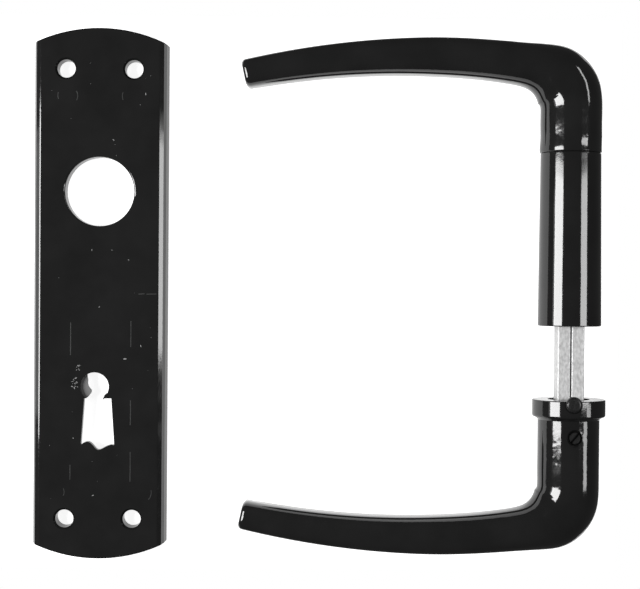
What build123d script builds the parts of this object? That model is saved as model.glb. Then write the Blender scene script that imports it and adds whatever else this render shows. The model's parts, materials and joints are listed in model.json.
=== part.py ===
from build123d import *

import os
from math import copysign, cos, hypot, pi, sin, sqrt

# Door lever handle set, in millimetres: one moulded back plate, and the pair of levers on their spindle,
# lying beside it as they come to rest. The origin is the centre of the lever hole on the plate's back face,
# +X points to the levers, +Y up the plate and +Z out of its front.

# Back plate: outline and edge
plate_width = 40.5
plate_thickness = 5.6
plate_above_hole = 48.8
plate_below_hole = 110.3
arch_height = 4.8
arch_edge_break = 0.4
inner_bevel_width = 1.3
inner_bevel_drop = 0.7
outer_bevel_width = 0.7
outer_bevel_drop = 1.6
side_draft = 0.55
bevel_crest_radius = 1.0
bevel_ridge_radius = 0.3

# Back plate: hollow back
front_wall = 2.2
rim_wall = 1.8
rib_wall = 1.4
hole_ring_wall = 1.8
screw_boss_wall = 1.8
cross_rib_drop = 30.6
post_diameter = 5.9
upper_post_spacing = 19.2
upper_post_rise = 28.5
lower_post_spacing = 26.1
lower_post_drop = 90.3

# Back plate: holes
lever_hole_clearance = 0.9
lever_hole_edge_radius = 0.6
screw_hole_diameter = 5.4
screw_sink_diameter = 6.6
screw_spacing_across = 20.2
screw_spacing_along = 134.9
upper_screw_rise = 36.6
keyhole_drop = 58.5
keyhole_round_diameter = 8.6
keyhole_round_shift = -1.2
keyhole_slot_shift = -0.2
keyhole_slot_length = 17.5
keyhole_shoulder_drop = 3.5
keyhole_shoulder_width = 8.1
keyhole_foot_width = 10.0
keyhole_foot_ripple = 1.4
keyhole_frame_width = 18.4
keyhole_frame_rise = 21.0
keyhole_frame_drop = 31.6

# Spindle and what holds it
spindle_size = 8.0
spindle_corner_radius = 0.55
spindle_end_cone = 0.6
spindle_seam_width = 0.4
spindle_seam_depth = 1.6
spindle_lip_radius = 0.35
spindle_exposed = 21.8
socket_clearance = 0.15
socket_end_gap = 0.6
pin_diameter = 2.4
pin_clearance = 0.05
pin_depth = 1.0
pin_seat_depth = 0.6
pin_head_diameter = 4.8
pin_head_height = 1.4
pin_head_rounding = 1.0
pin_notch_clearance = 0.15
pin_tail = 1.2
screw_diameter = 4.0
screw_clearance = 0.05
screw_length = 4.5
screw_slot_width = 0.7
screw_slot_depth = 0.9
screw_slot_angle = 50.0
screw_hole_flare = 0.55
screw_flare_angle = 45.0
screw_edge_break = 0.4
screw_tip_gap = 0.3
screw_spot_depth = 0.3

# Levers: the form that both share
neck_diameter = 18.3
grip_reach = 97.5
grip_apex_reach = 44.0
grip_root_reach = 14.4
bend_fall = 15.2
bend_neck_pull = 8.0
bend_grip_pull = 9.0
grip_root_fall = 2.0
grip_tip_fall = 5.7
bend_entry_thickness = 19.2
bend_thickness = 18.7
bend_exit_thickness = 15.3
grip_root_thickness = 12.6
grip_apex_thickness = 11.0
grip_tip_thickness = 8.5
bend_depth = 18.1
grip_root_depth = 15.5
grip_apex_depth = 14.1
grip_tip_depth = 12.3
grip_squareness = 3.6
tip_edge_radius = 1.4
section_count = 34
section_points = 20

# Levers: what differs
collar_rim = 1.7
collar_thickness = 5.2
collar_edge_radius = 0.3
collar_heel_radius = 0.7
collar_root_slope = 0.8
collar_recess_diameter = 12.4
collar_recess_depth = 1.0
collar_neck_length = 35.6
collar_socket_depth = 30.4
collar_screw_drop = 10.9
collar_screw_shift = 0.7
sleeve_neck_length = 28.4
sleeve_socket_depth = 24.8
sleeve_screw_rise = 7.2
seam_edge_radius = 0.4

# Extension sleeve
sleeve_length = 51.4
sleeve_seam_step = 0.15
sleeve_flare = 0.4
sleeve_bore_diameter = 11.6
sleeve_bore_chamfer = 0.5
sleeve_free_edge_radius = 0.3
spigot_diameter = 14.0
spigot_length = 8.0
spigot_clearance = 0.1
spigot_end_gap = 0.3
spigot_end_chamfer = 0.4
push_stop_gap = 0.5

# Where the lever pair lies: the centre of the collar's face
pair_right = 140.5
pair_down = 60.7

# Diameters that follow from the neck
collar_diameter = neck_diameter + 2 * collar_rim
sleeve_seam_diameter = neck_diameter - 2 * sleeve_seam_step
sleeve_free_diameter = sleeve_seam_diameter + 2 * sleeve_flare
lever_hole_diameter = sleeve_free_diameter + 2 * lever_hole_clearance

# Stations along the spindle, counted from the collar's face towards the sleeve lever
sleeve_free_end = spindle_exposed
seam_station = sleeve_free_end + sleeve_length
spindle_start = -collar_socket_depth + socket_end_gap
spindle_end = seam_station + sleeve_socket_depth - (spindle_exposed - push_stop_gap) - socket_end_gap
spindle_half = spindle_size / 2

collar_apex = -(collar_thickness + collar_neck_length)
sleeve_apex = seam_station + sleeve_neck_length


def lever_curves(neck_start, apex_station):
    """A lever's centre line in the pair's own frame: neck, bend, root and end of the grip."""
    outward = copysign(1, apex_station - neck_start)

    def place(reach, fall):
        return (-reach, apex_station - outward * fall)

    root_slope = 2 * grip_root_fall / (grip_apex_reach - grip_root_reach)
    neck = Line((0, neck_start), place(0, bend_fall))
    bend = Bezier(
        place(0, bend_fall),
        place(0, bend_fall - bend_neck_pull),
        place(grip_root_reach - bend_grip_pull, grip_root_fall + root_slope * bend_grip_pull),
        place(grip_root_reach, grip_root_fall),
    )
    root = Bezier(
        place(grip_root_reach, grip_root_fall),
        place((grip_root_reach + grip_apex_reach) / 2, 0),
        place(grip_apex_reach, 0),
    )
    end = Bezier(
        place(grip_apex_reach, 0),
        place((grip_apex_reach + grip_reach) / 2, 0),
        place(grip_reach, grip_tip_fall),
    )
    return neck, bend, root, end


# The pair rests on the collar's edge, the underside of the sleeve lever's bend and that lever's tip:
# the slopes of the table in the pair's own frame follow from those three heights
sleeve_bend = lever_curves(seam_station, sleeve_apex)[1]
bend_rest = sleeve_bend.position_at(sleeve_bend.length / 2, position_mode=PositionMode.LENGTH)
tip_rest = Vector(tip_edge_radius - grip_reach, sleeve_apex - grip_tip_fall)
bend_lift = (collar_diameter - bend_depth) / 2
tip_lift = (collar_diameter - grip_tip_depth) / 2
rest_area = tip_rest.Y * bend_rest.X - bend_rest.Y * tip_rest.X
slope_along = (tip_lift * bend_rest.X - bend_lift * tip_rest.X) / rest_area
slope_across = (tip_lift * bend_rest.Y - bend_lift * tip_rest.Y) / rest_area
slope_norm = sqrt(1 + slope_along**2 + slope_across**2)
axis_height = collar_diameter / 2 * sqrt(1 + slope_across**2) / slope_norm
pair_rest = Plane(
    origin=(pair_right, -pair_down, axis_height),
    x_dir=(1, 0, 0),
    z_dir=(-slope_across, slope_along, 1),
)
spindle_axis = Axis(pair_rest.origin, pair_rest.y_dir)


def lay(plane):
    """Carry a plane of the lever pair's own frame to where the pair lies."""
    return Plane(pair_rest.location * plane.location)


def across(station):
    """The plane across the spindle at a station, facing the sleeve lever."""
    return lay(Plane((0, station, 0), x_dir=(1, 0, 0), z_dir=(0, 1, 0)))


def facing_up(station, height=0, shift=0):
    """A plane over the spindle's axis, or shifted to its side, facing away from the table."""
    return lay(Plane((shift, station, height), x_dir=(1, 0, 0), z_dir=(0, 0, 1)))


def facing_down(station, height=0):
    """A plane on the spindle's axis, facing the table."""
    return lay(Plane((0, station, -height), x_dir=(1, 0, 0), z_dir=(0, 0, -1)))


def blend(stops, values, at):
    """A smooth value between stations: a cubic run that is level beside each flat and at each peak."""
    last = len(stops) - 1
    slopes = []
    for i in range(last + 1):
        before = max(i - 1, 0)
        after = min(i + 1, last)
        inner = 0 < i < last
        level = inner and (values[i] - values[before]) * (values[after] - values[i]) <= 0
        rise = 0 if level else values[after] - values[before]
        slopes.append(rise / (stops[after] - stops[before]))
    span = max(i for i in range(last) if stops[i] <= at)
    gap = stops[span + 1] - stops[span]
    t = (at - stops[span]) / gap
    return (
        (1 + 2 * t) * (1 - t) ** 2 * values[span]
        + t * (1 - t) ** 2 * gap * slopes[span]
        + t**2 * (3 - 2 * t) * values[span + 1]
        + t**2 * (t - 1) * gap * slopes[span + 1]
    )


def lever_section(plane, thickness, depth, squareness):
    """A rounded section of a lever: round at squareness 2, and boxier above that."""
    points = []
    for step in range(section_points):
        turn = 2 * pi * step / section_points
        wide = thickness / 2 * copysign(abs(cos(turn)) ** (2 / squareness), cos(turn))
        deep = depth / 2 * copysign(abs(sin(turn)) ** (2 / squareness), sin(turn))
        points.append((wide, deep))
    with BuildSketch(plane) as section:
        with BuildLine():
            Spline(*points, periodic=True)
        make_face()
    return section.sketch


def lever_sections(neck_start, apex_station):
    """Sections of a lever, evenly spaced from its neck's start, through the bend, to the tip of its grip."""
    neck, bend, root, end = lever_curves(neck_start, apex_station)
    run = Wire([neck, bend, root, end])
    bend_at = neck.length
    root_at = bend_at + bend.length
    apex_at = root_at + root.length
    tip_at = apex_at + end.length
    round_form = 2
    root_form = (round_form + grip_squareness) / 2
    # Distance along the centre line, thickness, depth and squareness at each station
    stations = [
        (0, neck_diameter, neck_diameter, round_form),
        (bend_at, neck_diameter, neck_diameter, round_form),
        (bend_at + bend.length / 4, bend_entry_thickness, (neck_diameter + bend_depth) / 2, round_form),
        (bend_at + bend.length / 2, bend_thickness, bend_depth, round_form),
        (root_at - bend.length / 4, bend_exit_thickness, (bend_depth + grip_root_depth) / 2, round_form),
        (root_at, grip_root_thickness, grip_root_depth, root_form),
        (apex_at, grip_apex_thickness, grip_apex_depth, grip_squareness),
        (tip_at, grip_tip_thickness, grip_tip_depth, grip_squareness),
    ]
    stops, thicknesses, depths, forms = zip(*stations)
    sections = []
    for step in range(section_count):
        at = tip_at * step / (section_count - 1)
        heading = run.tangent_at(at, position_mode=PositionMode.LENGTH)
        where = run.position_at(at, position_mode=PositionMode.LENGTH)
        plane = Plane(where, x_dir=heading.cross(Axis.Z.direction), z_dir=heading)
        form = max(blend(stops, forms, at), round_form)
        sections.append(
            lever_section(lay(plane), blend(stops, thicknesses, at), blend(stops, depths, at), form)
        )
    return sections


# Back plate
plate_top = plate_above_hole
plate_bottom = -plate_below_hole
half_width = plate_width / 2
screw_middle = upper_screw_rise - screw_spacing_along / 2
keyhole_shoulder = -keyhole_drop - keyhole_shoulder_drop
keyhole_foot = -keyhole_drop - keyhole_slot_length
cavity_depth = plate_thickness - front_wall
cavity_half_width = half_width - side_draft - rim_wall
with BuildPart() as back_plate:
    # The outline seen from the front, with an arch at each end
    with BuildSketch():
        with BuildLine():
            ThreePointArc(
                (-half_width, plate_top - arch_height), (0, plate_top), (half_width, plate_top - arch_height)
            )
            Line((half_width, plate_top - arch_height), (half_width, plate_bottom + arch_height))
            ThreePointArc(
                (half_width, plate_bottom + arch_height), (0, plate_bottom),
                (-half_width, plate_bottom + arch_height),
            )
            Line((-half_width, plate_bottom + arch_height), (-half_width, plate_top - arch_height))
        make_face()
    extrude(amount=plate_thickness)
    front_arches = back_plate.faces().sort_by(Axis.Z)[-1].edges().filter_by(GeomType.CIRCLE)
    chamfer(front_arches, length=arch_edge_break)
    # The section across the plate, with two bevels down each long side, rounded where they meet
    with BuildSketch(Plane.XZ.offset(-plate_top)) as plate_section:
        with BuildLine():
            shoulder = half_width - side_draft
            ridge = shoulder - outer_bevel_width
            ridge_height = plate_thickness - inner_bevel_drop
            edge = Polyline(
                (0, 0),
                (half_width, 0),
                (shoulder, ridge_height - outer_bevel_drop),
                (ridge, ridge_height),
                (ridge - inner_bevel_width, plate_thickness),
                (0, plate_thickness),
            )
            mirror(edge, about=Plane.YZ)
        make_face()
        crests = plate_section.vertices().group_by(Axis.Y)[-1].sort_by(Axis.X)
        ridges = plate_section.vertices().group_by(Axis.Y)[-2]
        fillet((crests[0], crests[-1]), radius=bevel_crest_radius)
        fillet(ridges, radius=bevel_ridge_radius)
    extrude(amount=plate_top - plate_bottom, mode=Mode.INTERSECT)
    # The hollow back: the rim, ring, bosses, keyhole frame, cross rib and posts stay standing
    with BuildSketch():
        with BuildLine():
            cavity_top = plate_top - rim_wall
            cavity_bottom = plate_bottom + rim_wall
            upper_spring = cavity_top - arch_height
            lower_spring = cavity_bottom + arch_height
            ThreePointArc(
                (-cavity_half_width, upper_spring), (0, cavity_top), (cavity_half_width, upper_spring)
            )
            Line((cavity_half_width, upper_spring), (cavity_half_width, lower_spring))
            ThreePointArc(
                (cavity_half_width, lower_spring), (0, cavity_bottom), (-cavity_half_width, lower_spring)
            )
            Line((-cavity_half_width, lower_spring), (-cavity_half_width, upper_spring))
        make_face()
        Circle(lever_hole_diameter / 2 + hole_ring_wall, mode=Mode.SUBTRACT)
        with Locations((0, screw_middle)):
            with GridLocations(screw_spacing_across, screw_spacing_along, 2, 2):
                Circle(screw_hole_diameter / 2 + screw_boss_wall, mode=Mode.SUBTRACT)
        with Locations((0, upper_post_rise)):
            with GridLocations(upper_post_spacing, 1, 2, 1):
                Circle(post_diameter / 2, mode=Mode.SUBTRACT)
        with Locations((0, -lower_post_drop)):
            with GridLocations(lower_post_spacing, 1, 2, 1):
                Circle(post_diameter / 2, mode=Mode.SUBTRACT)
        with Locations((0, -cross_rib_drop)):
            Rectangle(plate_width, rib_wall, mode=Mode.SUBTRACT)
        frame_top = -keyhole_drop + keyhole_frame_rise
        frame_bottom = -keyhole_drop - keyhole_frame_drop
        with Locations((0, (frame_top + frame_bottom) / 2)):
            Rectangle(keyhole_frame_width, frame_top - frame_bottom, mode=Mode.SUBTRACT)
            Rectangle(keyhole_frame_width - 2 * rib_wall, frame_top - frame_bottom - 2 * rib_wall)
    extrude(amount=cavity_depth, mode=Mode.SUBTRACT)
    # The lever hole, the countersunk screw holes and the keyhole
    with Locations((0, 0, plate_thickness)):
        Hole(radius=lever_hole_diameter / 2)
    hole_rim = back_plate.faces().sort_by(Axis.Z)[-1].edges().filter_by(GeomType.CIRCLE).sort_by(Axis.Y)
    fillet(hole_rim.filter_by(lambda edge: edge.is_closed), radius=lever_hole_edge_radius)
    with Locations((0, screw_middle, plate_thickness)):
        with GridLocations(screw_spacing_across, screw_spacing_along, 2, 2):
            CounterSinkHole(radius=screw_hole_diameter / 2, counter_sink_radius=screw_sink_diameter / 2)
    with BuildSketch():
        with Locations((keyhole_round_shift, -keyhole_drop)):
            Circle(keyhole_round_diameter / 2)
        with BuildLine():
            shoulder_left = (keyhole_slot_shift - keyhole_shoulder_width / 2, keyhole_shoulder)
            shoulder_right = (keyhole_slot_shift + keyhole_shoulder_width / 2, keyhole_shoulder)
            foot_left = (keyhole_slot_shift - keyhole_foot_width / 2, keyhole_foot)
            foot_right = (keyhole_slot_shift + keyhole_foot_width / 2, keyhole_foot)
            Polyline(foot_right, shoulder_right, shoulder_left, foot_left)
            Spline(
                foot_left,
                (keyhole_slot_shift - keyhole_foot_width / 7, keyhole_foot),
                (keyhole_slot_shift, keyhole_foot - keyhole_foot_ripple),
                (keyhole_slot_shift + keyhole_foot_width / 4, keyhole_foot - keyhole_foot_ripple / 3),
                foot_right,
            )
        make_face()
    extrude(amount=plate_thickness, mode=Mode.SUBTRACT)
back_plate.part.label = "back_plate"

# Collar lever: the lofted lever with its collar, the square socket, the pin's notch and the screw hole
collar_radius = collar_diameter / 2
pin_seat = collar_radius - pin_seat_depth
pin_bottom = spindle_half + pin_tail
socket_side = spindle_size + 2 * socket_clearance
screw_hole_radius = screw_diameter / 2 + screw_clearance
neck_radius = neck_diameter / 2
with BuildPart() as collar_lever:
    loft(sections=lever_sections(-collar_thickness / 2, collar_apex))
    fillet(collar_lever.faces().sort_by(Axis.X)[0].edges(), radius=tip_edge_radius)
    # The collar, with a sloping root that runs into the neck
    with BuildSketch(lay(Plane.XY)):
        with BuildLine():
            Polyline(
                (0, 0),
                (collar_radius, 0),
                (collar_radius, -collar_thickness),
                (neck_radius + collar_root_slope, -collar_thickness),
                (neck_radius - collar_root_slope, -collar_thickness - 2 * collar_root_slope),
                (0, -collar_thickness - 2 * collar_root_slope),
                close=True,
            )
        make_face()
    revolve(axis=spindle_axis)
    heel_edge, face_edge = (
        collar_lever.faces()
        .filter_by(GeomType.CYLINDER)
        .sort_by(SortBy.AREA)[-1]
        .edges()
        .filter_by(GeomType.CIRCLE)
        .sort_by(spindle_axis)
    )
    fillet(heel_edge, radius=collar_heel_radius)
    fillet(face_edge, radius=collar_edge_radius)
    with BuildSketch(across(0)):
        Circle(collar_recess_diameter / 2)
    extrude(amount=-collar_recess_depth, mode=Mode.SUBTRACT)
    with BuildSketch(across(0)):
        Rectangle(socket_side, socket_side)
    extrude(amount=-collar_socket_depth, mode=Mode.SUBTRACT)
    # The notch that the pin drops into from the collar's face, and the seat of its head
    notch_radius = pin_diameter / 2 + pin_notch_clearance
    with BuildSketch(facing_up(-pin_depth, -pin_bottom - pin_notch_clearance)):
        Circle(notch_radius)
        with Locations((0, pin_depth / 2)):
            Rectangle(2 * notch_radius, pin_depth)
    extrude(amount=pin_bottom + pin_notch_clearance + collar_radius, mode=Mode.SUBTRACT)
    with BuildSketch(facing_up(-pin_depth, pin_seat)):
        Circle(pin_head_diameter / 2 + pin_notch_clearance)
    extrude(amount=pin_head_height, mode=Mode.SUBTRACT)
    # The set screw's hole, flared where it opens on the neck
    with BuildSketch(facing_up(-collar_screw_drop, 0, collar_screw_shift)):
        Circle(screw_hole_radius)
    extrude(amount=neck_diameter, mode=Mode.SUBTRACT)
    with BuildSketch(facing_up(-collar_screw_drop, neck_radius + screw_hole_flare, collar_screw_shift)):
        Circle(screw_hole_radius + 2 * screw_hole_flare)
    extrude(amount=-3 * screw_hole_flare, taper=screw_flare_angle, mode=Mode.SUBTRACT)
collar_lever.part.label = "collar_lever"

# Sleeve lever: the same lever on a shorter neck, with the sleeve's spigot, the socket and a screw hole below
with BuildPart() as sleeve_lever:
    loft(sections=lever_sections(seam_station, sleeve_apex))
    fillet(sleeve_lever.faces().sort_by(Axis.X)[0].edges(), radius=tip_edge_radius)
    neck_end = sleeve_lever.faces().filter_by(GeomType.PLANE).sort_by(spindle_axis)[0]
    fillet(neck_end.edges(), radius=seam_edge_radius)
    with BuildSketch(across(seam_station + seam_edge_radius)):
        Circle(spigot_diameter / 2)
    extrude(amount=-(spigot_length + seam_edge_radius))
    chamfer(
        sleeve_lever.edges().filter_by(GeomType.CIRCLE).sort_by(spindle_axis)[0],
        length=spigot_end_chamfer,
    )
    with BuildSketch(across(seam_station - spigot_length)):
        Rectangle(socket_side, socket_side)
    extrude(amount=spigot_length + sleeve_socket_depth, mode=Mode.SUBTRACT)
    with BuildSketch(facing_down(seam_station + sleeve_screw_rise)):
        Circle(screw_hole_radius)
    extrude(amount=neck_diameter, mode=Mode.SUBTRACT)
    with BuildSketch(facing_down(seam_station + sleeve_screw_rise, neck_radius + screw_hole_flare)):
        Circle(screw_hole_radius + 2 * screw_hole_flare)
    extrude(amount=-3 * screw_hole_flare, taper=screw_flare_angle, mode=Mode.SUBTRACT)
sleeve_lever.part.label = "sleeve_lever"

# Extension sleeve: a drafted tube, wider at its free end, with a counterbore for the sleeve lever's spigot
bore_radius = sleeve_bore_diameter / 2
counterbore_radius = spigot_diameter / 2 + spigot_clearance
counterbore_floor = seam_station - spigot_length - spigot_end_gap
with BuildPart() as extension_sleeve:
    with BuildSketch(lay(Plane.XY)):
        with BuildLine():
            Polyline(
                (bore_radius + sleeve_bore_chamfer, sleeve_free_end),
                (sleeve_free_diameter / 2, sleeve_free_end),
                (sleeve_seam_diameter / 2, seam_station),
                (counterbore_radius, seam_station),
                (counterbore_radius, counterbore_floor),
                (bore_radius, counterbore_floor),
                (bore_radius, sleeve_free_end + sleeve_bore_chamfer),
                close=True,
            )
        make_face()
    revolve(axis=spindle_axis)
    sleeve_ends = extension_sleeve.faces().filter_by(GeomType.PLANE).sort_by(spindle_axis)
    free_edge = sleeve_ends[0].outer_wire().edges()
    seam_edge = sleeve_ends[-1].outer_wire().edges()
    fillet(free_edge, radius=sleeve_free_edge_radius)
    fillet(seam_edge, radius=seam_edge_radius)
extension_sleeve.part.label = "extension_sleeve"

# Spindle: a square bar with a seam along its upper face, cross-drilled for the pin, spotted for the set screw
corner_centre = spindle_half - spindle_corner_radius
corner_reach = hypot(corner_centre, corner_centre) + spindle_corner_radius
with BuildPart() as spindle:
    with BuildSketch(across(spindle_start)) as bar:
        RectangleRounded(spindle_size, spindle_size, spindle_corner_radius)
        with Locations((0, -spindle_half)):
            Rectangle(spindle_seam_width, 2 * spindle_seam_depth, mode=Mode.SUBTRACT)
        seam_lips = bar.vertices().group_by(Axis.Y)[0].sort_by(Axis.X)[1:3]
        fillet(seam_lips, radius=spindle_lip_radius)
    extrude(amount=spindle_end - spindle_start)
    # Each end is turned to a cone, which takes the corners off
    with BuildSketch(lay(Plane.XY)):
        with BuildLine():
            Polyline(
                (0, spindle_start),
                (corner_reach - spindle_end_cone, spindle_start),
                (corner_reach + spindle_end_cone, spindle_start + 2 * spindle_end_cone),
                (corner_reach + spindle_end_cone, spindle_end - 2 * spindle_end_cone),
                (corner_reach - spindle_end_cone, spindle_end),
                (0, spindle_end),
                close=True,
            )
        make_face()
    revolve(axis=spindle_axis, mode=Mode.INTERSECT)
    with BuildSketch(facing_up(-pin_depth, -spindle_size)):
        Circle(pin_diameter / 2 + pin_clearance)
    extrude(amount=2 * spindle_size, mode=Mode.SUBTRACT)
    with BuildSketch(facing_up(-collar_screw_drop, spindle_half - screw_spot_depth, collar_screw_shift)):
        Circle(screw_hole_radius)
    extrude(amount=screw_spot_depth, mode=Mode.SUBTRACT)
spindle.part.label = "spindle"

# Spindle pin: a round-headed pin through the spindle, lying in the collar's notch
with BuildPart() as spindle_pin:
    with BuildSketch(facing_up(-pin_depth, -pin_bottom)):
        Circle(pin_diameter / 2)
    extrude(amount=pin_bottom + pin_seat)
    with BuildSketch(facing_up(-pin_depth, pin_seat)):
        Circle(pin_head_diameter / 2)
    extrude(amount=pin_head_height)
    fillet(spindle_pin.edges().sort_by(Axis.Z)[-1], radius=pin_head_rounding)
spindle_pin.part.label = "spindle_pin"

# Collar lever's set screw: slotted, its tip in the spindle's spot
screw_rest = spindle_half - screw_spot_depth + screw_clearance
collar_screw_seat = facing_up(-collar_screw_drop, screw_rest, collar_screw_shift)
with BuildPart() as collar_lever_screw:
    with BuildSketch(collar_screw_seat):
        Circle(screw_diameter / 2)
    extrude(amount=screw_length)
    chamfer(collar_lever_screw.edges().filter_by(GeomType.CIRCLE), length=screw_edge_break)
    with BuildSketch(collar_screw_seat.offset(screw_length)):
        Rectangle(screw_diameter, screw_slot_width, rotation=screw_slot_angle)
    extrude(amount=-screw_slot_depth, mode=Mode.SUBTRACT)
collar_lever_screw.part.label = "collar_lever_screw"

# Sleeve lever's set screw: the same screw, backed off so that the lever slides on the spindle
sleeve_screw_seat = facing_down(seam_station + sleeve_screw_rise, spindle_half + screw_tip_gap)
with BuildPart() as sleeve_lever_screw:
    with BuildSketch(sleeve_screw_seat):
        Circle(screw_diameter / 2)
    extrude(amount=screw_length)
    chamfer(sleeve_lever_screw.edges().filter_by(GeomType.CIRCLE), length=screw_edge_break)
    with BuildSketch(sleeve_screw_seat.offset(screw_length)):
        Rectangle(screw_diameter, screw_slot_width, rotation=screw_slot_angle)
    extrude(amount=-screw_slot_depth, mode=Mode.SUBTRACT)
sleeve_lever_screw.part.label = "sleeve_lever_screw"

os.makedirs("parts", exist_ok=True)
export_step(back_plate.part, "parts/back_plate.step")
export_step(collar_lever.part, "parts/collar_lever.step")
export_step(sleeve_lever.part, "parts/sleeve_lever.step")
export_step(extension_sleeve.part, "parts/extension_sleeve.step")
export_step(spindle.part, "parts/spindle.step")
export_step(spindle_pin.part, "parts/spindle_pin.step")
export_step(collar_lever_screw.part, "parts/collar_lever_screw.step")
export_step(sleeve_lever_screw.part, "parts/sleeve_lever_screw.step")
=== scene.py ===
import json
from math import cos, hypot, pi, radians, sin
from random import Random

import bpy
from mathutils import Matrix, Vector
from mathutils.bvhtree import BVHTree


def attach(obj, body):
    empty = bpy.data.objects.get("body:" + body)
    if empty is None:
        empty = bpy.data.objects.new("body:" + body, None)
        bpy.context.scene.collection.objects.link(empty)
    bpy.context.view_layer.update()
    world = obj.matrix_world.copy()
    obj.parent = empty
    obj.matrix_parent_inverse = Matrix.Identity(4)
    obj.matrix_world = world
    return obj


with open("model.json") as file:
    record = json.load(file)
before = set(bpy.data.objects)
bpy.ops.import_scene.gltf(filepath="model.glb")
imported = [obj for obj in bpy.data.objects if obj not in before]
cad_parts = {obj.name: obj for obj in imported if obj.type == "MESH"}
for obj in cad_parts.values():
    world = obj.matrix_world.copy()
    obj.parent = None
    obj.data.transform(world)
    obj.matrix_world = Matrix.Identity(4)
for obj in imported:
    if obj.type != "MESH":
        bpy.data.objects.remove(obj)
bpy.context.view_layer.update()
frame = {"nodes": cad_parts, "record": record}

nodes = frame["nodes"]
mm = 0.001
scene = bpy.context.scene

# The camera that fits the photograph
image_width = 640
focal_pixels = 1514.2
sensor_width = 36
view_end = 10
camera_place = Vector((58, -20, 460)) * mm
camera_turn = (-0.02274, -0.01784, 0.00892)

# Where the lever pair lies: a point on its spindle, the way along it, the way up and the way across its grips
pair_joint = next(j for j in frame["record"]["behaviour"]["joints"] if j["name"] == "lever_turn")
pair_origin = Vector(pair_joint["pos_m"])
pair_along = Vector(pair_joint["axis"]).normalized()
pair_up = Vector((-0.031578, 0.017333, 0.999351)).normalized()
pair_across = pair_along.cross(pair_up).normalized()

# The plate, in mm: its front's height, the posts and ribs behind it, and its openings
plate_front = 5.6
post_radius = 2.95
post_places = ((-9.6, 28.5), (9.6, 28.5), (-13.05, -90.3), (13.05, -90.3))
cross_rib = -30.6
left_rib, right_rib = -8.4, 9.6
keyhole_centre = (-1.2, -58.5)
keyhole_radius = 4.3
screw_hole_side = 10.1
screw_hole_rows = (36.6, -98.3)

# Witness lines on the front, in mm: arcs round a post from one angle to another, lines up a rib from low to high,
# and lines along the cross rib from start to end
post_arcs = ((0, -28, 28), (0, 160, 200), (1, 158, 202), (2, -20, 24), (3, -45, 15))
rib_lines = (
    (left_rib, -49, -39.3), (left_rib, -86.5, -82),
    (right_rib, -46.5, -38.7), (right_rib, -70, -62.5), (right_rib, -87, -78),
)
cross_rib_lines = ((11.8, 13.6), (14.2, 17.2))
rib_line_bow = 0.04
cross_line_slope = 0.08
line_half_width = 0.1
cross_line_half_width = 0.12
line_height = 0.03

# Specks on the front, in mm: single ones by place and size, and fields by their ranges of x, y and size and a count
single_specks = (
    (7.85, -50.1, 0.42), (12.6, -46.2, 0.28), (-1.5, -91.2, 0.26), (0.1, -34.6, 0.2), (13.6, 29.2, 0.3),
    (4.1, 15.4, 0.26), (-2.2, -17.5, 0.22), (3.8, -17.5, 0.16), (8.8, -20.4, 0.2), (-7.5, -74, 0.22),
)
speck_fields = (
    ((-6.8, -5.7), (-53.6, -51.8), (0.12, 0.28), 9),
    ((-8, -6.3), (-59.3, -55.6), (0.12, 0.3), 18),
    ((-16, 16), (-100, 40), (0.06, 0.12), 28),
)
speck_seed = 4
speck_corners = 7
speck_half_height = 0.02
speck_raggedness = (0.7, 1.1)
speck_length, speck_width = 1.5, 0.6
lever_hole_clear = 11.5
keyhole_clear = 5
slot_clear = 6.5
slot_low, slot_high = -79, -60
screw_hole_clear = 4

# A grey sheet in the keyhole's round that is painted shade, in mm: its free edge and the angles of its rim, and the
# barb's outline
shade_sheet_edge = (
    (-3.5, -54.95), (-3.45, -55.7), (-3.28, -56.6), (-3.36, -57.5), (-3.15, -58.4),
    (-2.65, -59.1), (-2.2, -59.6), (-2.25, -60.3), (-2.75, -61.0), (-3.3, -61.7),
)
shade_sheet_rim_angles = (234, 121)
shade_sheet_rim_sink = 0.06
shade_sheet_low, shade_sheet_high = 3.6, 4.4
barb_edge = (
    (2.9, -60.4), (2.2, -60.55), (1.75, -61.1), (1.45, -61.8),
    (1.2, -62.5), (1.65, -62.2), (2.0, -61.6), (2.6, -61.3),
)
barb_low, barb_high = 3.6, 5.3

# The parting ridges on the grips, in mm: their rise over the pair's middle, their section as (aside, out) pairs, and
# the stations across the pair that their path is cast from
ridge_rise = 4.2
ridge_section = ((-0.3, -0.15), (0.0, 0.34), (0.3, -0.15))
ridge_taper_steps = 6
ridge_normal_reach = 3
ridge_smoothings = 3
grip_stations = range(-91, -24)
bend_station = -25
bend_reach = 12
bend_steps = 24

# The white sheet that the set lies on, in mm
sheet_left, sheet_right = -34, 157
sheet_low, sheet_high = -114, 53
sheet_drop = 0.1

# Lamps beside the spindle: how far off they stand in metres, and the x and z in mm that they look at
lamp_distance = 0.7
lamp_aim_x, lamp_aim_z = 140.5, 11

# Tones
black_tone = 0.009
worn_tone = 0.035
dust_tone = 0.22
# The grey of the sheet in the keyhole: painted shade where the hole falls dark
keyhole_shade_tone = dust_tone * 0.6
zinc_tone = 0.58
dark_steel_tone = 0.025
sheet_tone = 0.7
white = (1, 1, 1, 1)


def new_material(name):
    """A node material with its shader, cleared of everything else."""
    material = bpy.data.materials.new(name)
    material.use_nodes = True
    tree = material.node_tree
    tree.nodes.clear()
    output = tree.nodes.new("ShaderNodeOutputMaterial")
    shader = tree.nodes.new("ShaderNodeBsdfPrincipled")
    tree.links.new(shader.outputs["BSDF"], output.inputs["Surface"])
    return material, tree, shader


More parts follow.
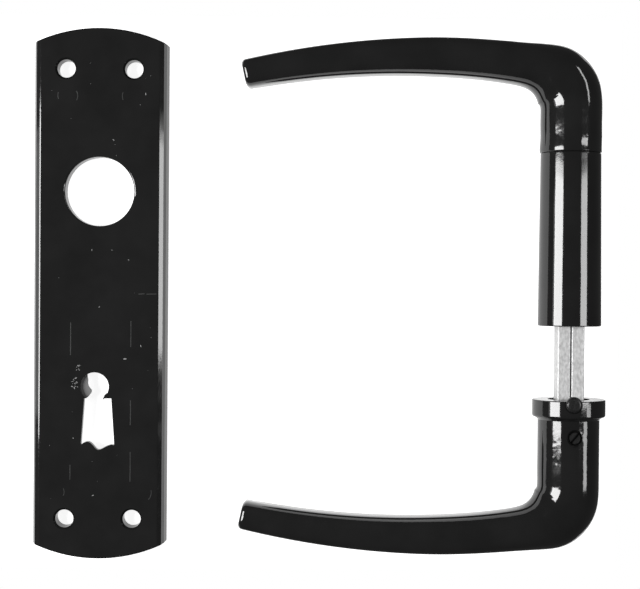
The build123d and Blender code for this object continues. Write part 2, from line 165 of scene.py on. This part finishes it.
def noise(tree, scale, detail, stretch=(1, 1, 1)):
    """Noise in the object's own space, in marks per metre, drawn out along an axis by its stretch."""
    place = tree.nodes.new("ShaderNodeTexCoord")
    mapping = tree.nodes.new("ShaderNodeMapping")
    mapping.inputs["Scale"].default_value = stretch
    texture = tree.nodes.new("ShaderNodeTexNoise")
    texture.inputs["Scale"].default_value = scale
    texture.inputs["Detail"].default_value = detail
    tree.links.new(place.outputs["Object"], mapping.inputs["Vector"])
    tree.links.new(mapping.outputs["Vector"], texture.inputs["Vector"])
    return texture.outputs["Fac"]


def spread(tree, value, low, high):
    """Carry the middle of a noise's values onto a range."""
    node = tree.nodes.new("ShaderNodeMapRange")
    node.inputs["From Min"].default_value = 0.3
    node.inputs["From Max"].default_value = 0.7
    node.inputs["To Min"].default_value = low
    node.inputs["To Max"].default_value = high
    tree.links.new(value, node.inputs["Value"])
    return node.outputs["Result"]


def grey(tree, value):
    """A value as a grey colour."""
    node = tree.nodes.new("ShaderNodeCombineColor")
    for channel in ("Red", "Green", "Blue"):
        tree.links.new(value, node.inputs[channel])
    return node.outputs["Color"]


def bump(tree, height, distance, before=None):
    """A surface normal from a height, over an earlier one if there is one."""
    node = tree.nodes.new("ShaderNodeBump")
    node.inputs["Strength"].default_value = 1.0
    node.inputs["Distance"].default_value = distance
    tree.links.new(height, node.inputs["Height"])
    if before:
        tree.links.new(before, node.inputs["Normal"])
    return node.outputs["Normal"]


def plastic(name, tone, smooth, rough):
    """Moulded plastic: a faint waviness, a tone and a gloss that vary a little."""
    material, tree, shader = new_material(name)
    shade = spread(tree, noise(tree, scale=90, detail=3), tone * 0.85, tone * 1.2)
    tree.links.new(grey(tree, shade), shader.inputs["Base Color"])
    tree.links.new(spread(tree, noise(tree, scale=160, detail=4), smooth, rough), shader.inputs["Roughness"])
    wave = bump(tree, noise(tree, scale=130, detail=1), distance=0.00004)
    fine = bump(tree, noise(tree, scale=2200, detail=2), distance=0.000003, before=wave)
    tree.links.new(fine, shader.inputs["Normal"])
    return material


def zinc_steel():
    """Zinc-plated steel: mottled grey, half matt, drawn marks along the bar."""
    material, tree, shader = new_material("zinc_steel")
    mottle = noise(tree, scale=1500, detail=4, stretch=(1, 0.5, 1))
    tree.links.new(grey(tree, spread(tree, mottle, zinc_tone * 0.75, zinc_tone * 1.2)), shader.inputs["Base Color"])
    shader.inputs["Metallic"].default_value = 0.35
    tree.links.new(spread(tree, noise(tree, scale=1400, detail=3), 0.4, 0.6), shader.inputs["Roughness"])
    drawn = noise(tree, scale=1500, detail=3, stretch=(1, 0.3, 1))
    tree.links.new(bump(tree, drawn, distance=0.00003), shader.inputs["Normal"])
    return material


def dark_steel():
    """Blackened steel of the pin and screws."""
    material, tree, shader = new_material("dark_steel")
    shade = spread(tree, noise(tree, scale=1800, detail=3), dark_steel_tone * 0.7, dark_steel_tone * 1.4)
    tree.links.new(grey(tree, shade), shader.inputs["Base Color"])
    shader.inputs["Metallic"].default_value = 0.6
    tree.links.new(spread(tree, noise(tree, scale=2600, detail=2), 0.25, 0.4), shader.inputs["Roughness"])
    return material


def dress(names, material):
    """Put a material on the slots of CAD nodes."""
    for name in names:
        for slot in nodes[name].material_slots:
            slot.material = material


gloss_black = plastic("black_plastic", black_tone, smooth=0.05, rough=0.09)
worn_black = plastic("worn_black_plastic", worn_tone, smooth=0.2, rough=0.35)
# A pale grey plastic for the sheet in the keyhole, which is painted shade
keyhole_shade_grey = plastic("keyhole_shade_grey_plastic", keyhole_shade_tone, smooth=0.5, rough=0.7)
dusty_black = plastic("dusty_black_plastic", dust_tone, smooth=0.5, rough=0.8)
dress(("back_plate", "collar_lever", "sleeve_lever", "extension_sleeve"), gloss_black)
dress(("spindle",), zinc_steel())
dress(("spindle_pin", "collar_lever_screw", "sleeve_lever_screw"), dark_steel())


def piece(name, body, corners, faces, material):
    """A small piece from its corners in metres, riding on a body."""
    mesh = bpy.data.meshes.new(name)
    mesh.from_pydata(corners, [], faces)
    mesh.materials.append(material)
    mesh.update()
    thing = bpy.data.objects.new(name, mesh)
    scene.collection.objects.link(thing)
    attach(thing, body)


def bar_faces(rings, size):
    """Faces of a bar with closed ends, over rings of corners that follow each other."""
    faces = []
    for start in range(0, (rings - 1) * size, size):
        for j in range(size):
            k = (j + 1) % size
            faces.append((start + j, start + k, start + size + k, start + size + j))
    faces.append(tuple(reversed(range(size))))
    faces.append(tuple(range((rings - 1) * size, rings * size)))
    return faces


def gathered(lots):
    """Several lots of corners and faces as one."""
    corners, faces = [], []
    for more_corners, more_faces in lots:
        step = len(corners)
        corners += more_corners
        faces += [tuple(i + step for i in face) for face in more_faces]
    return corners, faces


def slab(outline, low, high, inset):
    """Corners and faces of a flat chip over an outline in mm, its top drawn in towards its middle by a share."""
    count = len(outline)
    middle_x = sum(x for x, _ in outline) / count
    middle_y = sum(y for _, y in outline) / count
    corners = [Vector((x, y, low)) * mm for x, y in outline]
    for x, y in outline:
        corners.append(Vector((x + (middle_x - x) * inset, y + (middle_y - y) * inset, high)) * mm)
    return corners, bar_faces(2, count)


def mark(points, half_width):
    """A low flat-topped line on the plate's front, through points in mm."""
    path = [Vector((x, y, plate_front)) * mm for x, y in points]
    last = len(path) - 1
    up = Vector((0, 0, 1))
    half = half_width * mm
    tall = line_height * mm
    section = ((-half - tall, -tall), (half + tall, -tall), (half, tall), (-half, tall))
    corners = []
    for i, place in enumerate(path):
        way = (path[min(i + 1, last)] - path[max(i - 1, 0)]).normalized()
        side = way.cross(up)
        corners += [place + side * s + up * r for s, r in section]
    return corners, bar_faces(len(path), len(section))


def arc(centre, radius, start, end, count):
    """Points of an arc in mm, from a start to an end angle in degrees."""
    x, y = centre
    turns = [radians(start + (end - start) * i / (count - 1)) for i in range(count)]
    return [(x + radius * cos(turn), y + radius * sin(turn)) for turn in turns]


def plate_witness_lines():
    """What the moulding's back leaves on the front: arcs over posts and lines over ribs."""
    bars = []
    for post, start, end in post_arcs:
        bars.append(mark(arc(post_places[post], post_radius, start, end, count=12), line_half_width))
    for x, low, high in rib_lines:
        bars.append(mark([(x, low), (x + rib_line_bow, (low + high) / 2), (x, high)], line_half_width))
    for start, end in cross_rib_lines:
        bars.append(mark([(start, cross_rib), (end, cross_rib + cross_line_slope)], cross_line_half_width))
    piece("plate_witness_lines", "plate", *gathered(bars), worn_black)


def on_the_front(x, y):
    """Whether a place on the plate is clear of its openings."""
    keyhole_x, keyhole_y = keyhole_centre
    if hypot(x, y) < lever_hole_clear or hypot(x - keyhole_x, y - keyhole_y) < keyhole_clear:
        return False
    if abs(x) < slot_clear and slot_low < y < slot_high:
        return False
    return all(hypot(abs(x) - screw_hole_side, y - row) >= screw_hole_clear for row in screw_hole_rows)


def plate_specks():
    """Small pale chips and dust on the plate's front, thickest beside the keyhole."""
    dice = Random(speck_seed)
    spots = list(single_specks)
    for across, along, sizes, count in speck_fields:
        spots += [(dice.uniform(*across), dice.uniform(*along), dice.uniform(*sizes)) for _ in range(count)]
    chips = []
    for x, y, size in spots:
        if not on_the_front(x, y):
            continue
        lean = dice.uniform(0, pi)
        outline = []
        for i in range(speck_corners):
            turn = 2 * pi * i / speck_corners
            far = size * dice.uniform(*speck_raggedness)
            along, aside = far * cos(turn) * speck_length, far * sin(turn) * speck_width
            outline.append((x + along * cos(lean) - aside * sin(lean), y + along * sin(lean) + aside * cos(lean)))
        chips.append(slab(outline, plate_front - speck_half_height, plate_front + speck_half_height, inset=0.15))
    piece("plate_specks", "plate", *gathered(chips), dusty_black)


def keyhole_shade_and_barb():
    """A pale grey sheet in the keyhole's round, painted shade where the hole falls dark, and a thin barb at its
    right shoulder.
    """
    rim = arc(keyhole_centre, keyhole_radius + shade_sheet_rim_sink, *shade_sheet_rim_angles, count=20)
    piece("keyhole_shade_sheet", "plate", *slab(rim + list(shade_sheet_edge), shade_sheet_low, shade_sheet_high, inset=0.02), keyhole_shade_grey)
    piece("keyhole_barb", "plate", *slab(barb_edge, barb_low, barb_high, inset=0.04), gloss_black)


def inner_wall(name, way, gap_station, neck_end):
    """Points and outward ways of a lever's inner wall, from its tip round the bend to its neck."""
    node = nodes[name]
    corners = [node.matrix_world @ vertex.co for vertex in node.data.vertices]
    tree = BVHTree.FromPolygons(corners, [list(face.vertices) for face in node.data.polygons])

    def cast(across, along, turn):
        start = pair_origin + (pair_across * across + pair_along * along + pair_up * ridge_rise) * mm
        aim = pair_across * cos(turn) + pair_along * sin(turn)
        return tree.ray_cast(start, aim)[0]

    to_grip = way * pi / 2
    path = [cast(station, gap_station, to_grip) for station in grip_stations]
    hub = (path[-1] - pair_origin).dot(pair_along) / mm - way * bend_reach
    path += [cast(bend_station, hub, to_grip * (1 - i / bend_steps)) for i in range(bend_steps + 1)]
    steps = int(abs(hub - neck_end))
    path += [cast(bend_station, hub + (neck_end - hub) * i / steps, 0) for i in range(1, steps + 1)]
    path = [place for place in path if place]
    for _ in range(ridge_smoothings):
        path[1:-1] = [(a + b * 2 + c) / 4 for a, b, c in zip(path, path[1:], path[2:])]
    found = [tree.find_nearest(place) for place in path]
    return [near[0] for near in found], [near[1] for near in found]


def parting_ridge(name, node, body, way, gap_station, neck_end):
    """The flash line where the mould's halves met, along a lever's inner wall."""
    path, out = inner_wall(node, way, gap_station, neck_end)
    count = len(path)
    reach = ridge_normal_reach
    out = [sum(out[max(i - reach, 0):i + reach + 1], Vector()).normalized() for i in range(count)]
    corners = []
    for i, place in enumerate(path):
        step = path[min(i + 1, count - 1)] - path[max(i - 1, 0)]
        side = step.cross(out[i]).normalized()
        share = min(1, (i + 1) / ridge_taper_steps, (count - i) / ridge_taper_steps)
        corners += [place + (side * s * share + out[i] * min(r, r * share)) * mm for s, r in ridge_section]
    piece(name, body, corners, bar_faces(count, len(ridge_section)), gloss_black)


plate_witness_lines()
plate_specks()
keyhole_shade_and_barb()
parting_ridge("sleeve_lever_parting", "sleeve_lever", "sleeve_side", way=1, gap_station=20, neck_end=75)
parting_ridge("collar_lever_parting", "collar_lever", "spindle_side", way=-1, gap_station=10, neck_end=-9)


def ray_shares(tree, base, shares):
    """A strength: its base, and a share more for each kind of ray."""
    path = tree.nodes.new("ShaderNodeLightPath")
    strength = tree.nodes.new("ShaderNodeValue").outputs[0]
    strength.default_value = base
    for ray, share in shares:
        step = tree.nodes.new("ShaderNodeMath")
        step.operation = "MULTIPLY_ADD"
        tree.links.new(path.outputs[ray], step.inputs[0])
        step.inputs[1].default_value = share
        tree.links.new(strength, step.inputs[2])
        strength = step.outputs[0]
    return strength


def floor():
    """The white sheet that the set lies on. Its own light lifts it to white, and it keeps the shadows."""
    mesh = bpy.data.meshes.new("floor")
    left, right, low, high = sheet_left * mm, sheet_right * mm, sheet_low * mm, sheet_high * mm
    mesh.from_pydata([(left, low, 0), (right, low, 0), (right, high, 0), (left, high, 0)], [], [(0, 1, 2, 3)])
    sheet = bpy.data.objects.new("floor", mesh)
    sheet.location = (0, 0, -sheet_drop * mm)
    scene.collection.objects.link(sheet)
    material, tree, shader = new_material("white_sheet")
    shader.inputs["Base Color"].default_value = (sheet_tone, sheet_tone, sheet_tone, 1)
    shader.inputs["Roughness"].default_value = 0.8
    shader.inputs["Emission Color"].default_value = white
    lift = ray_shares(tree, 0, (("Is Camera Ray", 0.9), ("Is Glossy Ray", 0.6), ("Is Transmission Ray", 0.6)))
    tree.links.new(lift, shader.inputs["Emission Strength"])
    mesh.materials.append(material)


def room():
    """A room that is white to the eye, but gives little light and shows little in mirrors."""
    world = bpy.data.worlds.new("room")
    world.use_nodes = True
    tree = world.node_tree
    background = tree.nodes["Background"]
    background.inputs["Color"].default_value = white
    shares = (("Is Camera Ray", 0.98), ("Is Glossy Ray", 0.07), ("Is Transmission Ray", 0.9))
    tree.links.new(ray_shares(tree, 0.02, shares), background.inputs["Strength"])
    scene.world = world


def panel_lamp(name, place, aim, width, length, radiance):
    """A soft panel with its width across the set and its length along it, looking from a place at a point in mm."""
    data = bpy.data.lights.new(name, "AREA")
    data.shape = "RECTANGLE"
    data.size = width
    data.size_y = length
    data.energy = radiance * pi * width * length
    lamp = bpy.data.objects.new(name, data)
    lamp.location = place
    back = (place - Vector(aim) * mm).normalized()
    side = Vector((0, 1, 0)).cross(back).normalized()
    lamp.rotation_euler = Matrix((side, back.cross(side), back)).transposed().to_euler()
    scene.collection.objects.link(lamp)


def spindle_lamp(name, angle, along, width, length, radiance):
    """A panel beside the spindle, at an angle from straight above it and a place along it in mm."""
    lean = Vector((sin(radians(angle)), 0, cos(radians(angle)))) * lamp_distance
    place = Vector((pair_origin.x, along * mm, pair_origin.z)) + lean
    panel_lamp(name, place, (lamp_aim_x, along, lamp_aim_z), width, length, radiance)


floor()
spindle_lamp("left_panel", angle=-53, along=-27, width=0.39, length=0.224, radiance=21)
panel_lamp("left_glow", Vector((-0.837, -0.035, 0.374)), (-18, -35, 5), width=0.16, length=0.25, radiance=1.8)
spindle_lamp("right_panel", angle=42, along=-12, width=0.3, length=0.185, radiance=11.5)
spindle_lamp("right_low_panel", angle=55, along=-148, width=0.17, length=0.085, radiance=8.5)
panel_lamp("right_back_panel", Vector((0.743, 0.366, 0.385)), (143, 30, 17), width=0.07, length=0.45, radiance=9)
room()
scene.view_settings.view_transform = "Standard"

camera_data = bpy.data.cameras.new("camera")
camera_data.sensor_fit = "HORIZONTAL"
camera_data.sensor_width = sensor_width
camera_data.lens = focal_pixels * sensor_width / image_width
camera_data.clip_end = view_end
camera = bpy.data.objects.new("camera", camera_data)
camera.location = camera_place
camera.rotation_euler = camera_turn
scene.collection.objects.link(camera)
scene.camera = camera
